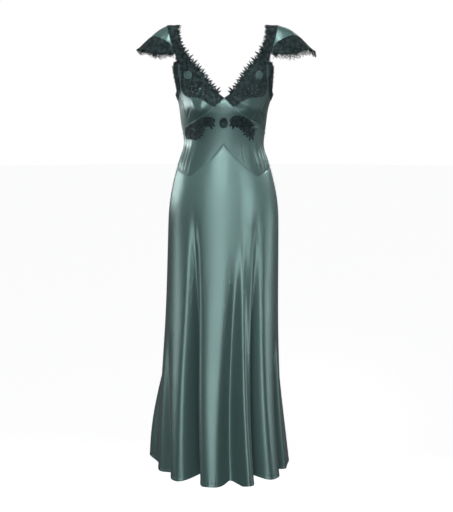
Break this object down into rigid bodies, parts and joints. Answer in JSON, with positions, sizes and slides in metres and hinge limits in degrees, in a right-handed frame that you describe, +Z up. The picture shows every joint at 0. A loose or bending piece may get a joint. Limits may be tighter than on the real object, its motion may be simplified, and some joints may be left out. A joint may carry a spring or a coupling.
{
  "type": "slip dress",
  "caption": "Long satin slip dress with a lace-trimmed V neck, winged cap sleeves, an arched waist seam and a fluted skirt, filled out as if worn.",
  "frame": {"origin": "midway between the two shoulder points, on the line where the wearer's shoulders hold the dress", "axes": "+Z up, from the hem towards the shoulders; -Y out of the dress's front; +X towards the wearer's left"},
  "size_m": [0.5465, 0.4084, 1.3788],
  "materials": {
    "satin": "sea-green bias satin with a soft broad sheen",
    "lace": "dark teal corded lace on a fine net, matt"
  },
  "bodies": {
    "root": {"skirt_front": "satin", "skirt_back": "satin", "midriff_front": "satin", "bodice_back": "satin", "cup_left": "satin", "cup_right": "satin", "cap_sleeve_left": "satin", "cap_sleeve_right": "satin", "neck_lace_left": "lace", "neck_lace_right": "lace", "strap_back_left": "lace", "strap_back_right": "lace", "armhole_lace_left": "lace", "armhole_lace_right": "lace", "sleeve_lace_left": "lace", "sleeve_lace_right": "lace", "midriff_lace_left": "lace", "midriff_lace_right": "lace", "midriff_motif": "lace"}
  },
  "joints": []
}
